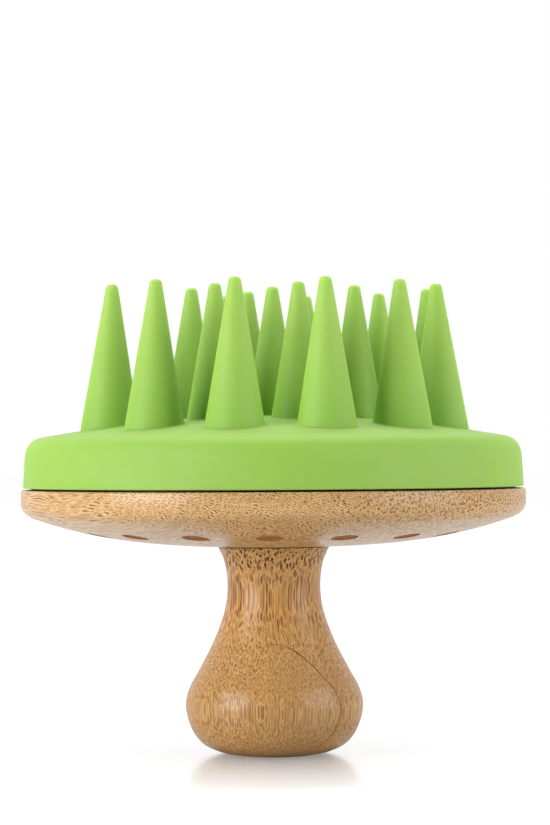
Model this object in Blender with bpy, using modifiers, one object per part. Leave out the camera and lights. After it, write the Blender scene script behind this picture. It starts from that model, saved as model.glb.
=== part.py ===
"""Scalp massager brush: a turned bamboo knob and disc that carry a soft pad of nineteen cones.

Metres, +Z up. The foot of the knob stands on z = 0, the cones point up, and Z is the turning axis.
"""

import math

import bmesh
import bpy

# Driving dimensions.
HEAD_RADIUS = 0.0400
OVERALL_HEIGHT = 0.07405
GAP = 0.0003

# Bamboo disc.
DISC_TOP = 0.0419
DISC_SEAT = 0.0328
DISC_SEAT_RADIUS = 0.0100
DISC_EDGE_ROUND = 0.0003
RIM_BOTTOM = 0.0396
BELLY_RADIUS = 0.0380
BELLY_RISE = 0.0046
RECESS_DEPTH = 0.0005

# Bamboo knob: radius and height of each point that its turned outline passes through.
KNOB_TOP = DISC_SEAT - GAP
KNOB_OUTLINE = [
    (0.00885, KNOB_TOP),
    (0.00785, 0.0303),
    (0.00740, 0.0270),
    (0.00775, 0.0231),
    (0.00935, 0.0184),
    (0.01175, 0.0136),
    (0.01350, 0.0104),
    (0.01412, 0.0074),
    (0.01320, 0.0040),
    (0.01150, 0.0017),
    (0.00920, 0.0005),
    (0.00700, 0.0),
]

# Silicone pad. Its dome and the carrier under it share one curvature.
PAD_BOTTOM = DISC_TOP + GAP
PAD_APEX = 0.0535
DOME_RADIUS = 0.204
SKIRT_RADIUS = 0.0397
SHOULDER_INNER = 0.0368
SHOULDER_CORNER = 0.0392
SHOULDER_OUTER = 0.03942
SHOULDER_DROP = 0.0469
PAD_SKIN = 0.0032
LIP_THICKNESS = 0.0010

# Cones: (number, distance of the tips from the axis, inward lean in degrees) for each ring.
CONE_RINGS = [(1, 0.0, 0.0), (6, 0.01327, 0.5), (12, 0.0263, 1.1)]
CONE_TIP_RADIUS = 0.00087
CONE_TIP_ROUND = 0.00030
CONE_TAPER = 0.1655
CONE_ROOT = 0.0012

# Black carrier.
CARRIER_WALL = 0.0022
FLANGE_RADIUS = 0.0384
FLANGE_BOTTOM = DISC_TOP - RECESS_DEPTH + GAP
FLANGE_TOP = 0.0430
CARRIER_SIDE = 0.0363
BOSS_RADIUS = 0.0046
BOSS_FLOOR = 0.0440

# Plate screws, with a 3 mm thread drawn at its core.
SCREW_COUNT = 4
SCREW_CIRCLE = 0.0240
SCREW_FIRST_ANGLE = 45.0
SCREW_HEAD_RADIUS = 0.0028
SCREW_HEAD_HEIGHT = 0.0020
SCREW_CORE_RADIUS = 0.0012
SCREW_LENGTH = 0.0083
SCREW_TIP_LENGTH = 0.0015
SCREW_SLOT = (0.0030, 0.0007, 0.0012)
HEAD_CLEARANCE_RADIUS = 0.0032
THREAD_CLEARANCE_RADIUS = 0.0018

# M5 bolt, washer and insert in the middle.
COUNTERBORE_DEPTH = 0.0050
COUNTERBORE_RADIUS = 0.0056
WASHER_RADIUS = 0.0050
WASHER_HOLE = 0.0028
WASHER_THICKNESS = 0.0010
BOLT_HEAD_RADIUS = 0.00475
BOLT_HEAD_HEIGHT = 0.00275
BOLT_SHANK_RADIUS = 0.0025
BOLT_LENGTH = 0.0160
BOLT_END_CHAMFER = 0.0004
HEX_ACROSS_FLATS = 0.0030
HEX_DEPTH = 0.0016
INSERT_RADIUS = 0.0035
INSERT_LENGTH = 0.0100
INSERT_TOP = KNOB_TOP - 0.0005

# Facets.
TURN_STEPS = 48
SMALL_STEPS = 24
CONE_STEPS = 16


def clear_scene():
    for obj in list(bpy.data.objects):
        bpy.data.objects.remove(obj)


def new_collection(name):
    collection = bpy.data.collections.new(name)
    bpy.context.scene.collection.children.link(collection)
    return collection


def new_material(name, colour, roughness, metallic=0.0):
    material = bpy.data.materials.new(name)
    material.use_nodes = True
    shader = material.node_tree.nodes["Principled BSDF"]
    shader.inputs["Base Color"].default_value = (*colour, 1.0)
    shader.inputs["Roughness"].default_value = roughness
    shader.inputs["Metallic"].default_value = metallic
    return material


def new_object(name, mesh, collection, material=None):
    obj = bpy.data.objects.new(name, mesh)
    collection.objects.link(obj)
    if material:
        mesh.materials.append(material)
    return obj


def hide_tool(obj):
    obj.hide_render = True
    obj.display_type = "WIRE"


def bend(start, corner, end, pieces):
    """Points of a smooth bend from start to end that leaves start and meets end towards corner."""
    points = []
    for i in range(pieces + 1):
        t = i / pieces
        weights = ((1 - t) ** 2, 2 * t * (1 - t), t * t)
        points.append(tuple(sum(w * p[k] for w, p in zip(weights, (start, corner, end))) for k in (0, 1)))
    return points


def through(points, pieces):
    """A smooth line through all the points, with that many pieces to each span."""
    line = []
    for i in range(len(points) - 1):
        before = points[max(i - 1, 0)]
        here, there = points[i], points[i + 1]
        after = points[min(i + 2, len(points) - 1)]
        for j in range(pieces):
            t = j / pieces
            weights = (
                -0.5 * t + t**2 - 0.5 * t**3,
                1 - 2.5 * t**2 + 1.5 * t**3,
                0.5 * t + 2 * t**2 - 1.5 * t**3,
                -0.5 * t**2 + 0.5 * t**3,
            )
            line.append(tuple(sum(w * p[k] for w, p in zip(weights, (before, here, there, after))) for k in (0, 1)))
    return line + [points[-1]]


def turned(name, outline, steps, collection, material=None):
    """A solid of revolution about Z. The outline runs from the axis, down the outer side and back to it."""
    mesh = bpy.data.meshes.new(name)
    edges = [(i, i + 1) for i in range(len(outline) - 1)]
    mesh.from_pydata([(radius, 0.0, height) for radius, height in outline], edges, [])
    obj = new_object(name, mesh, collection, material)
    screw = obj.modifiers.new("Turn", "SCREW")
    screw.axis = "Z"
    screw.steps = steps
    screw.render_steps = steps
    screw.use_merge_vertices = True
    screw.merge_threshold = 1e-6
    screw.use_smooth_shade = True
    return obj


def closed(outline):
    """The outline of a ring, which doesn't reach the axis, joined end to start."""
    return outline + outline[:1]


def cylinder_tool(name, radius, low, high, place=(0.0, 0.0), sides=SMALL_STEPS):
    """A closed cylinder from low to high, for cutting or joining."""
    mesh = bpy.data.meshes.new(name)
    shape = bmesh.new()
    bmesh.ops.create_cone(
        shape, cap_ends=True, segments=sides, radius1=radius, radius2=radius, depth=high - low
    )
    shape.to_mesh(mesh)
    shape.free()
    tool = new_object(name, mesh, tools)
    tool.location = (*place, (low + high) / 2)
    hide_tool(tool)
    return tool


def box_tool(name, size, centre):
    mesh = bpy.data.meshes.new(name)
    shape = bmesh.new()
    bmesh.ops.create_cube(shape, size=1.0)
    bmesh.ops.scale(shape, vec=size, verts=shape.verts)
    shape.to_mesh(mesh)
    shape.free()
    tool = new_object(name, mesh, tools)
    tool.location = centre
    hide_tool(tool)
    return tool


def boolean(obj, tool, operation):
    modifier = obj.modifiers.new(tool.name, "BOOLEAN")
    modifier.operation = operation
    modifier.solver = "EXACT"
    modifier.object = tool


def around(count, radius, first_angle=0.0):
    """Points evenly round the axis, as (x, y, angle)."""
    for i in range(count):
        angle = math.radians(first_angle + 360.0 * i / count)
        yield radius * math.cos(angle), radius * math.sin(angle), angle


def screw_places():
    return list(around(SCREW_COUNT, SCREW_CIRCLE, SCREW_FIRST_ANGLE))


def dome_height(radius, apex=PAD_APEX):
    return apex - radius**2 / (2 * DOME_RADIUS)


def dome(radius, apex, pieces):
    """Points down a dome from its apex out to radius."""
    radii = [radius * i / pieces for i in range(pieces + 1)]
    return [(r, dome_height(r, apex)) for r in radii]


def cone_radius(drop):
    """Radius of a cone that far below its tip."""
    return CONE_TIP_RADIUS + CONE_TAPER * drop


def cone_outline(root_height):
    depth = OVERALL_HEIGHT - root_height
    return [
        (0.0, 0.0),
        (cone_radius(0.0) - CONE_TIP_ROUND, 0.0),
        (cone_radius(CONE_TIP_ROUND), -CONE_TIP_ROUND),
        (cone_radius(depth), -depth),
        (0.0, -depth),
    ]


def make_cone_tools():
    """The nineteen cones, with their roots sunk in the dome, for joining to the pad."""
    cones = bpy.data.collections.new("cones")
    tools.children.link(cones)
    for ring, (count, radius, lean) in enumerate(CONE_RINGS):
        outline = cone_outline(dome_height(radius) - CONE_ROOT)
        for i, (x, y, angle) in enumerate(around(count, radius)):
            cone = turned(f"cone_{ring}_{i + 1}", outline, CONE_STEPS, cones)
            cone.location = (x, y, OVERALL_HEIGHT)
            cone.rotation_euler = (0.0, -math.radians(lean), angle)
            hide_tool(cone)
    return cones


def make_bristle_pad(material):
    inner_apex = PAD_APEX - PAD_SKIN
    inner_side = CARRIER_SIDE + GAP
    lip_inner = SKIRT_RADIUS - LIP_THICKNESS
    lip_top = FLANGE_TOP + GAP
    shoulder = bend(
        (SHOULDER_INNER, dome_height(SHOULDER_INNER)),
        (SHOULDER_CORNER, dome_height(SHOULDER_CORNER)),
        (SHOULDER_OUTER, SHOULDER_DROP),
        5,
    )
    ceiling = dome(inner_side, inner_apex, 5)
    outline = [
        *dome(SHOULDER_INNER, PAD_APEX, 6)[:-1],
        *shoulder,
        (SKIRT_RADIUS, PAD_BOTTOM),
        (lip_inner, PAD_BOTTOM),
        (lip_inner, lip_top),
        (inner_side, lip_top),
        *reversed(ceiling),
    ]
    pad = turned("bristle_pad", outline, TURN_STEPS, parts, material)
    union = pad.modifiers.new("Cones", "BOOLEAN")
    union.operation = "UNION"
    union.solver = "EXACT"
    union.operand_type = "COLLECTION"
    union.collection = make_cone_tools()
    return pad


def make_carrier_plate(material):
    outer_apex = PAD_APEX - PAD_SKIN - GAP
    inner_side = CARRIER_SIDE - CARRIER_WALL
    roof = dome(CARRIER_SIDE, outer_apex, 5)
    ceiling = dome(inner_side, outer_apex - CARRIER_WALL, 5)
    outline = [
        *roof,
        (CARRIER_SIDE, FLANGE_TOP),
        (FLANGE_RADIUS, FLANGE_TOP),
        (FLANGE_RADIUS, FLANGE_BOTTOM),
        (inner_side, FLANGE_BOTTOM),
        *reversed(ceiling),
    ]
    carrier = turned("carrier_plate", outline, TURN_STEPS, parts, material)
    roof_height = dome_height(SCREW_CIRCLE, outer_apex)
    boss_top = roof_height - CARRIER_WALL / 2
    for i, (x, y, _) in enumerate(screw_places(), 1):
        boss = cylinder_tool(f"boss_{i}", BOSS_RADIUS, FLANGE_BOTTOM, boss_top, (x, y))
        well = cylinder_tool(
            f"head_well_{i}", HEAD_CLEARANCE_RADIUS, BOSS_FLOOR, outer_apex, (x, y)
        )
        hole = cylinder_tool(
            f"thread_hole_{i}", THREAD_CLEARANCE_RADIUS, DISC_SEAT, PAD_APEX, (x, y)
        )
        boolean(carrier, boss, "UNION")
        boolean(carrier, well, "DIFFERENCE")
        boolean(carrier, hole, "DIFFERENCE")
    return carrier


def belly_height(radius):
    """Height of the disc's shallow underside at that radius."""
    return DISC_SEAT + BELLY_RISE * (radius / BELLY_RADIUS) ** 3


def make_head_disc(material):
    recess_radius = FLANGE_RADIUS + GAP
    recess_floor = DISC_TOP - RECESS_DEPTH
    edge = (HEAD_RADIUS - DISC_EDGE_ROUND, DISC_TOP)
    rim_round = bend(
        (HEAD_RADIUS, RIM_BOTTOM),
        (HEAD_RADIUS - 0.0001, 0.0382),
        (BELLY_RADIUS, belly_height(BELLY_RADIUS)),
        4,
    )
    belly_span = BELLY_RADIUS - DISC_SEAT_RADIUS
    belly = [BELLY_RADIUS - belly_span * i / 6 for i in range(1, 7)]
    outline = [
        (0.0, recess_floor),
        (recess_radius, recess_floor),
        (recess_radius, DISC_TOP),
        edge,
        (HEAD_RADIUS, DISC_TOP - DISC_EDGE_ROUND),
        *rim_round,
        *[(radius, belly_height(radius)) for radius in belly],
        (DISC_SEAT_RADIUS - GAP, DISC_SEAT),
        (0.0, DISC_SEAT),
    ]
    disc = turned("head_disc", outline, TURN_STEPS, parts, material)
    counterbore_floor = recess_floor - COUNTERBORE_DEPTH
    counterbore = cylinder_tool("counterbore", COUNTERBORE_RADIUS, counterbore_floor, PAD_APEX)
    bolt_hole = cylinder_tool("bolt_hole", BOLT_SHANK_RADIUS + GAP, KNOB_TOP, PAD_APEX)
    boolean(disc, counterbore, "DIFFERENCE")
    boolean(disc, bolt_hole, "DIFFERENCE")
    pilot_floor = BOSS_FLOOR + GAP - SCREW_LENGTH - GAP
    for i, (x, y, _) in enumerate(screw_places(), 1):
        pilot = cylinder_tool(
            f"pilot_{i}", SCREW_CORE_RADIUS + GAP, pilot_floor, PAD_APEX, (x, y)
        )
        boolean(disc, pilot, "DIFFERENCE")
    return disc


def make_knob(material):
    outline = [(0.0, KNOB_TOP), *through(KNOB_OUTLINE, 2), (0.0, 0.0)]
    knob = turned("knob", outline, TURN_STEPS, parts, material)
    bore_floor = INSERT_TOP - INSERT_LENGTH - GAP
    bore = cylinder_tool("insert_bore", INSERT_RADIUS + GAP, bore_floor, DISC_TOP)
    boolean(knob, bore, "DIFFERENCE")
    return knob


def make_bolt_washer(material):
    low = DISC_TOP - RECESS_DEPTH - COUNTERBORE_DEPTH + GAP
    high = low + WASHER_THICKNESS
    ring = [(WASHER_HOLE, high), (WASHER_RADIUS, high), (WASHER_RADIUS, low), (WASHER_HOLE, low)]
    return turned("bolt_washer", closed(ring), SMALL_STEPS, parts, material)


def make_knob_bolt(material):
    seat = DISC_TOP - RECESS_DEPTH - COUNTERBORE_DEPTH + WASHER_THICKNESS + 2 * GAP
    top = seat + BOLT_HEAD_HEIGHT
    end = seat - BOLT_LENGTH
    crown = bend(
        (BOLT_HEAD_RADIUS * 0.5, top),
        (BOLT_HEAD_RADIUS * 0.95, top),
        (BOLT_HEAD_RADIUS, seat + BOLT_HEAD_HEIGHT * 0.2),
        4,
    )
    outline = [
        (0.0, top),
        *crown,
        (BOLT_HEAD_RADIUS, seat),
        (BOLT_SHANK_RADIUS, seat),
        (BOLT_SHANK_RADIUS, end + BOLT_END_CHAMFER),
        (BOLT_SHANK_RADIUS - BOLT_END_CHAMFER, end),
        (0.0, end),
    ]
    bolt = turned("knob_bolt", outline, SMALL_STEPS, parts, material)
    hex_radius = HEX_ACROSS_FLATS / math.sqrt(3)
    socket = cylinder_tool("hex_socket", hex_radius, top - HEX_DEPTH, top + HEX_DEPTH, sides=6)
    boolean(bolt, socket, "DIFFERENCE")
    return bolt


def make_threaded_insert(material):
    low = INSERT_TOP - INSERT_LENGTH
    bore = BOLT_SHANK_RADIUS + GAP
    ring = [(bore, INSERT_TOP), (INSERT_RADIUS, INSERT_TOP), (INSERT_RADIUS, low), (bore, low)]
    return turned("threaded_insert", closed(ring), SMALL_STEPS, parts, material)


def screw_mesh():
    """One pan-head screw, with its head's seat at the origin and a cross recess."""
    end = -SCREW_LENGTH
    shoulder = bend(
        (SCREW_HEAD_RADIUS * 0.6, SCREW_HEAD_HEIGHT),
        (SCREW_HEAD_RADIUS, SCREW_HEAD_HEIGHT),
        (SCREW_HEAD_RADIUS, SCREW_HEAD_HEIGHT * 0.3),
        3,
    )
    outline = [
        (0.0, SCREW_HEAD_HEIGHT),
        *shoulder,
        (SCREW_HEAD_RADIUS, 0.0),
        (SCREW_CORE_RADIUS, 0.0),
        (SCREW_CORE_RADIUS, end + SCREW_TIP_LENGTH),
        (0.0, end),
    ]
    blank = turned("screw_blank", outline, SMALL_STEPS, tools)
    hide_tool(blank)
    length, width, depth = SCREW_SLOT
    for name, size in (("slot_x", (length, width, 2 * depth)), ("slot_y", (width, length, 2 * depth))):
        slot = box_tool(name, size, (0.0, 0.0, SCREW_HEAD_HEIGHT))
        boolean(blank, slot, "DIFFERENCE")
    bpy.context.view_layer.update()
    graph = bpy.context.evaluated_depsgraph_get()
    return bpy.data.meshes.new_from_object(blank.evaluated_get(graph))


def make_plate_screws(material):
    mesh = screw_mesh()
    mesh.materials.clear()
    mesh.materials.append(material)
    for i, (x, y, angle) in enumerate(screw_places(), 1):
        screw = new_object(f"plate_screw_{i}", mesh, parts)
        screw.location = (x, y, BOSS_FLOOR + GAP)
        screw.rotation_euler = (0.0, 0.0, angle * 2.3)


clear_scene()
parts = new_collection("scalp_massager_brush")
tools = new_collection("cutters")
steel = new_material("zinc_plated_steel", (0.62, 0.62, 0.60), 0.35, 1.0)
make_bristle_pad(new_material("green_silicone", (0.36, 0.62, 0.13), 0.42))
make_carrier_plate(new_material("black_plastic", (0.012, 0.012, 0.013), 0.45))
make_head_disc(new_material("disc_bamboo", (0.60, 0.39, 0.19), 0.40))
make_knob(new_material("knob_bamboo", (0.55, 0.34, 0.15), 0.35))
make_knob_bolt(steel)
make_bolt_washer(new_material("washer_steel", (0.66, 0.66, 0.65), 0.30, 1.0))
make_threaded_insert(new_material("brass", (0.78, 0.57, 0.25), 0.30, 1.0))
make_plate_screws(new_material("screw_steel", (0.58, 0.58, 0.57), 0.38, 1.0))
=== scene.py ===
"""The looks of the scalp massager brush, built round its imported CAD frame. Metres, +Z up."""

import math

import bmesh
import bpy
from mathutils import Matrix, Vector
from mathutils.geometry import delaunay_2d_cdt


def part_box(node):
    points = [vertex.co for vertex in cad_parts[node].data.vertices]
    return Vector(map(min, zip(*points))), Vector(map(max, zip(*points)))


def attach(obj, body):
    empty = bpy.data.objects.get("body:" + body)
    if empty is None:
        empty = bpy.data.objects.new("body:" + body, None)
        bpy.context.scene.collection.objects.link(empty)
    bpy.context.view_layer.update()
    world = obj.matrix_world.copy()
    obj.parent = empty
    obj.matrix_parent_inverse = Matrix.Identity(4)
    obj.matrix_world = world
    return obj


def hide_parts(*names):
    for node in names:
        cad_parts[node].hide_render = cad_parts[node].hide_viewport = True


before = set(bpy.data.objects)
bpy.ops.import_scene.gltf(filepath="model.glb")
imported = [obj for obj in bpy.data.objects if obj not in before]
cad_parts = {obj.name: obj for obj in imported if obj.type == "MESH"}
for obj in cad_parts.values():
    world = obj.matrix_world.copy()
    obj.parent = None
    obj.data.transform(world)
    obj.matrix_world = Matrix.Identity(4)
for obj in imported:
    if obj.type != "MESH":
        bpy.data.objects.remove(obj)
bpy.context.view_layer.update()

# Places and sizes read from the frame.
DISC_LOW, DISC_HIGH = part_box("head_disc")
PAD_LOW, PAD_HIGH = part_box("bristle_pad")
CARRIER_LOW, CARRIER_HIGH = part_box("carrier_plate")

# The unit of most sizes, the gap between faces that touch on the real object, and the points in a ring.
MM = 0.001
SEAT_GAP = 0.3 * MM
TURN_STEPS = 192

# The pad: its dome, shoulder and skirt.
DOME_RADIUS = 204 * MM
PAD_APEX = 53.5 * MM
SHOULDER_INNER = 36.8 * MM
SHOULDER_CORNER = 39.2 * MM
SHOULDER_OUTER = 39.42 * MM
SHOULDER_DROP = 46.9 * MM
SHOULDER_STEPS = 14
PAD_SKIN = 3.2 * MM
LIP_THICKNESS = 1.0 * MM
LIP_ROUND = 0.25 * MM

# The ceiling of the cavity under the pad: the width of its outermost band, and the bands inside that one.
CEILING_BORDER = 4 * MM
CEILING_STEPS = 10

# The cones: (number, distance of the tips from the axis, inward lean in degrees).
CONE_RINGS = [(1, 0.0, 0.0), (6, 13.27 * MM, 0.5), (12, 26.3 * MM, 1.1)]
CONE_TIP_RADIUS = 0.87 * MM
CONE_TIP_ROUND = 0.6 * MM
CONE_TAPER = 0.1655
CONE_FILLET = 0.35 * MM
CONE_SEGMENTS = 40

# The pieces of a cone's outline in its fillet, its side and its round. The round bends towards the first of
# these shares of its edge's radius, and ends at the second.
CONE_FILLET_STEPS = 5
CONE_SIDE_STEPS = 14
CONE_ROUND_STEPS = 6
CONE_ROUND_CORNER = 0.86
CONE_ROUND_END = 0.3

# The carrier under it.
CARRIER_WALL = 2.2 * MM
CARRIER_SIDE = 36.3 * MM
CARRIER_ROUND = 0.3 * MM
FLANGE_TOP = 43.0 * MM
SCREW_COUNT = 4
SCREW_CIRCLE = 24.0 * MM
SCREW_FIRST_ANGLE = 45.0
BOSS_RADIUS = 4.6 * MM
BOSS_FLOOR = 44.0 * MM
WELL_RADIUS = 3.2 * MM
WELL_STEPS = 40
WELL_ROUND_STEPS = 3
THREAD_HOLE_RADIUS = 1.8 * MM

# The widths of the turned bands round the sheets of triangles in its roof and in its underside.
ROOF_BORDER = 1.2 * MM
UNDERSIDE_BORDER = 1.0 * MM

# The bamboo disc.
RIM_BOTTOM = 39.6 * MM
RIM_CORNER_INSET = 0.1 * MM
RIM_CORNER_HEIGHT = 38.2 * MM
RIM_STEPS = 10
BELLY_RADIUS = 38.0 * MM
BELLY_RISE = 4.6 * MM
SEAT_RADIUS = 10.0 * MM
DISC_EDGE_ROUND = 0.35 * MM
RECESS_DEPTH = 0.5 * MM
COUNTERBORE_DEPTH = 5.0 * MM
COUNTERBORE_RADIUS = 5.6 * MM
BOLT_HOLE_RADIUS = 2.8 * MM
BOLT_HOLE_CHAMFER = 0.2 * MM

# The ring of burnt dots under the disc. Each has a rounded edge, whose corner lies a little inside its
# radius, and inner rings at these shares of its radius.
DOT_COUNT = 16
DOT_CIRCLE = 29.0 * MM
DOT_RADIUS = 2.1 * MM
DOT_DEPTH = 0.2 * MM
DOT_CORNER_INSET = 0.15 * MM
DOT_ROUND_WIDTH = 0.35 * MM
DOT_ROUND_STEPS = 4
DOT_STEPS = 40
DOT_INNER_RINGS = (0.5, 0.25)

# The bamboo knob: radius and height of each point that its outline passes through. The rings in its foot are
# shares of the last radius.
KNOB_OUTLINE = [
    (8.85 * MM, 32.72 * MM),
    (7.85 * MM, 30.3 * MM),
    (7.40 * MM, 27.0 * MM),
    (7.75 * MM, 23.1 * MM),
    (9.35 * MM, 18.4 * MM),
    (11.75 * MM, 13.6 * MM),
    (13.50 * MM, 10.4 * MM),
    (14.12 * MM, 7.4 * MM),
    (13.20 * MM, 4.0 * MM),
    (11.50 * MM, 1.7 * MM),
    (9.20 * MM, 0.5 * MM),
    (7.00 * MM, 0.0),
]
KNOB_SPAN_STEPS = 6
KNOB_HEAD_ROUND = 0.15 * MM
KNOB_FOOT_RINGS = (0.7, 0.35)
INSERT_BORE_RADIUS = 3.8 * MM
INSERT_BORE_FLOOR = 21.5 * MM

# How far apart the points of each sheet of triangles lie.
DOME_SPACING = 1.1 * MM
BELLY_SPACING = 1.4 * MM
ROOF_SPACING = 2.0 * MM
UNDERSIDE_SPACING = 2.5 * MM

# Shares of that spacing: from row to row, from the sheet's edge and from each hole to the nearest points of
# the rows, and from each hole to the ring of points round it.
ROW_STEP = 0.866
EDGE_CLEARANCE = 0.7
HOLE_CLEARANCE = 1.1
HOLE_RING = 0.45

# A small round takes at most this share of the shorter side next to it.
MOST_ROUND = 0.45

# Edges sharper than this stay sharp. Every other edge is shaded smooth.
SHARP_EDGE = math.radians(40)

# The middle part of a noise's values, and nearly all of them.
MIDDLE_NOISE = (0.3, 0.7)
MOST_NOISE = (0.2, 0.8)

# Bundles of fibre where bamboo is cut across: their spacing, their least and greatest radius as shares of it,
# and how pale the middle is. Specks are the small ones without a pale middle that lie among the others.
DISC_COARSE = (0.82 * MM, (0.22, 0.37), 0.9)
DISC_FINE = (0.60 * MM, (0.24, 0.39), 0.3)
KNOB_COARSE = (0.54 * MM, (0.22, 0.36), 0.0)
KNOB_FINE = (0.42 * MM, (0.19, 0.38), 0.3)
SPECKS = (0.43 * MM, (0.10, 0.26), 0.0)
SPECK_STRENGTH = 0.7

# How much the bundles are scattered, and the least and greatest turn of one in radians.
BUNDLE_SCATTER = 0.9
BUNDLE_TURN = (-0.5, 0.8)

# One bundle, in its own radii: where its parts have faded out and where they are whole. A cap's reach, the
# core's and the halo's are distances from the middle. The gap between the caps and the core's width are
# distances in coordinates stretched by GAP_SHAPE. A cap's strength is its least and its greatest.
GAP_SHAPE = (0.45, 1.6, 1.0)
CAP_REACH = (1.2, 0.85)
CAP_GAP = (0.5, 1.0)
CAP_STRENGTH = (0.55, 1.0)
CORE_WIDTH = (0.8, 0.4)
CORE_REACH = (0.8, 0.5)
HALO_REACH = (2.1, 1.3)
HALO_STRENGTH = 0.4

# Every fibre wanders by up to this to each side, over about this length.
FIBRE_WANDER = 0.9 * MM
WANDER_LENGTH = 13 * MM

# Noise squeezed like this along a metal piece's axis makes the fine lines round it.
LATHE_SQUEEZE = (1.0, 1.0, 12.0)

# Thin streaks and broad clouds lie along the fibre. Only this share of a distance along it counts for them,
# which makes them long. The streaks also have a width, and the part of the noise's values that makes them.
STREAK_SHARE = 0.05
STREAK_WIDTH = 0.30 * MM
STREAK_NOISE = (0.38, 0.62)
CLOUD_SHARE = 0.1

# The disc's fibres lie at this angle from +X. The rest are places across them, from left to right: where fine
# bundles take over, how raggedly and in patches of what size, where the colour turns lighter, partly as the
# wood's own tone and partly as painted light for the fill light on the right, where the leftmost strip ends,
# and where the bundles turn from red-brown to dark.
DISC_FIBRE_TURN = math.radians(-48.7)
DISC_FINE_START = (-10 * MM, -9 * MM)
DISC_FINE_RAGGED = 14 * MM
DISC_FINE_PATCH = 4 * MM
DISC_LIGHTER = (-16 * MM, 6 * MM)
DISC_LEFT_STRIP_EDGE = (-30.0 * MM, -30.2 * MM)
DISC_DARK_START = (-36 * MM, -22 * MM)

# The knob's fibres lean away from the camera between two heights, from the first shift to the second.
KNOB_LEAN = (22 * MM, 36 * MM, 0.0, 1.8 * MM)

# Where the knob's fine bundles take over, by distance from the axis. Then two heights each: where the neck's
# colour takes over, made lighter as painted light for the light that reaches the neck under the disc's shade
# and warmer as the wood's own tone, and where the flare starts.
KNOB_FINE_START = (8.4 * MM, 9.3 * MM)
KNOB_NECK_LIGHT_AND_TONE = (14 * MM, 24 * MM)
KNOB_FLARE = (28.6 * MM, 31.0 * MM)

# The knob's first glue line is a plane this far in front of the axis. It starts left of the axis and is
# darker further to the right. A line's widths are how far from its middle it has faded out and is whole.
GLUE_DEPTH = 9.6 * MM
GLUE_START = (-1.2 * MM, -0.8 * MM)
GLUE_DARKENS = (1.8 * MM, 3.4 * MM)
GLUE_LEAST = 0.35
GLUE_WIDTHS = (0.09 * MM, 0.03 * MM)

# The second glue line stands square to the first, this far right of the axis, in the wood in front of it.
CROSS_GLUE_PLACE = 2.9 * MM
CROSS_GLUE_WIDTHS = (0.09 * MM, 0.02 * MM)
CROSS_GLUE_STRENGTH = 0.35
CROSS_GLUE_EDGE = 0.1 * MM

# The strip of wood in front of the first glue line.
FRONT_STRIP_EDGE = 0.05 * MM
FRONT_STRIP_STRENGTH = 0.25

# Colours, as linear red, green and blue. Tones are the two ends of a cloudy mix, a tint multiplies what it
# lies on, and spots are the two colours of dark bundles.
WHITE = (1.0, 1.0, 1.0)
SILICONE_TONES = ((0.240, 0.454, 0.033), (0.263, 0.480, 0.041))
SILICONE_TIP_PAINTED_LIGHT = (1.28, 1.08, 1.60)
PLASTIC_TONES = ((0.002, 0.002, 0.002), (0.005, 0.005, 0.005))
DISC_TONES = ((0.50, 0.292, 0.112), (0.59, 0.354, 0.150))
DISC_TONE_AND_PAINTED_LIGHT_TINT = (1.13, 1.16, 1.18)
DISC_LEFT_STRIP = (0.62, 0.38, 0.168)
DISC_STREAK = (0.30, 0.14, 0.035)
DISC_PALE = (0.80, 0.58, 0.28)
DISC_SPOTS = ((0.23, 0.058, 0.002), (0.11, 0.020, 0.0))
KNOB_TONES = ((0.48, 0.276, 0.088), (0.56, 0.342, 0.126))
KNOB_NECK_LIGHT_AND_TONE_TINT = (1.14, 1.06, 0.92)
KNOB_FLARE_TINT = (1.06, 1.08, 1.08)
KNOB_STREAK = (0.29, 0.110, 0.018)
KNOB_PALE = (0.73, 0.51, 0.25)
KNOB_SPOTS = ((0.20, 0.038, 0.0), (0.09, 0.013, 0.0))
KNOB_FRONT_STRIP = (0.40, 0.235, 0.10)
GLUE = (0.13, 0.032, 0.003)
CROSS_GLUE = (0.16, 0.07, 0.02)
BURNT_TONES = ((0.21, 0.080, 0.022), (0.37, 0.155, 0.050))
STEEL_TONES = ((0.60, 0.60, 0.58), (0.70, 0.69, 0.66))
BRASS_TONES = ((0.76, 0.55, 0.24), (0.83, 0.64, 0.33))
FLOOR_TONES = ((0.32, 0.32, 0.32), (0.34, 0.34, 0.34))
POLISH_COLOUR = (0.96, 0.96, 0.96)

# How strongly streaks and pale parts lie over the wood. Then the dark bundles: on the disc away from the left
# strip and on it, and on the knob under the flare and on it.
STREAK_STRENGTH = 0.5
DISC_PALE_STRENGTH = 0.7
KNOB_PALE_STRENGTH = 0.5
DISC_SPOT_STRENGTH = (1.0, 0.95)
KNOB_SPOT_STRENGTH = (0.92, 1.35)

# Painted light: from this height to the tips of the cones the silicone's colour is made paler, where it is
# thin.
# This stands in for light that shines through the thin tips and for the lesser shade there between the cones.
PAINTED_TIP_LIGHT_FROM = 54 * MM

# The camera stands level with the pad. Its lens and sensor are in millimetres.
CAMERA_AZIMUTH = math.radians(12.35)
CAMERA_DISTANCE = 427.6 * MM
CAMERA_HEIGHT = 47.34 * MM
CAMERA_LENS = 117.2
CAMERA_SENSOR = 36.0
CAMERA_PITCH = math.radians(0.896)
CAMERA_YAW = math.radians(0.043)
CAMERA_ROLL = math.radians(0.31)

# Directions as the camera sees them.
UP = (0.0, 0.0, 1.0)
RIGHT = (math.cos(CAMERA_AZIMUTH), math.sin(CAMERA_AZIMUTH), 0.0)
FRONT = (math.sin(CAMERA_AZIMUTH), -math.cos(CAMERA_AZIMUTH), 0.0)
BEHIND = (-math.sin(CAMERA_AZIMUTH), math.cos(CAMERA_AZIMUTH), 0.0)

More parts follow.
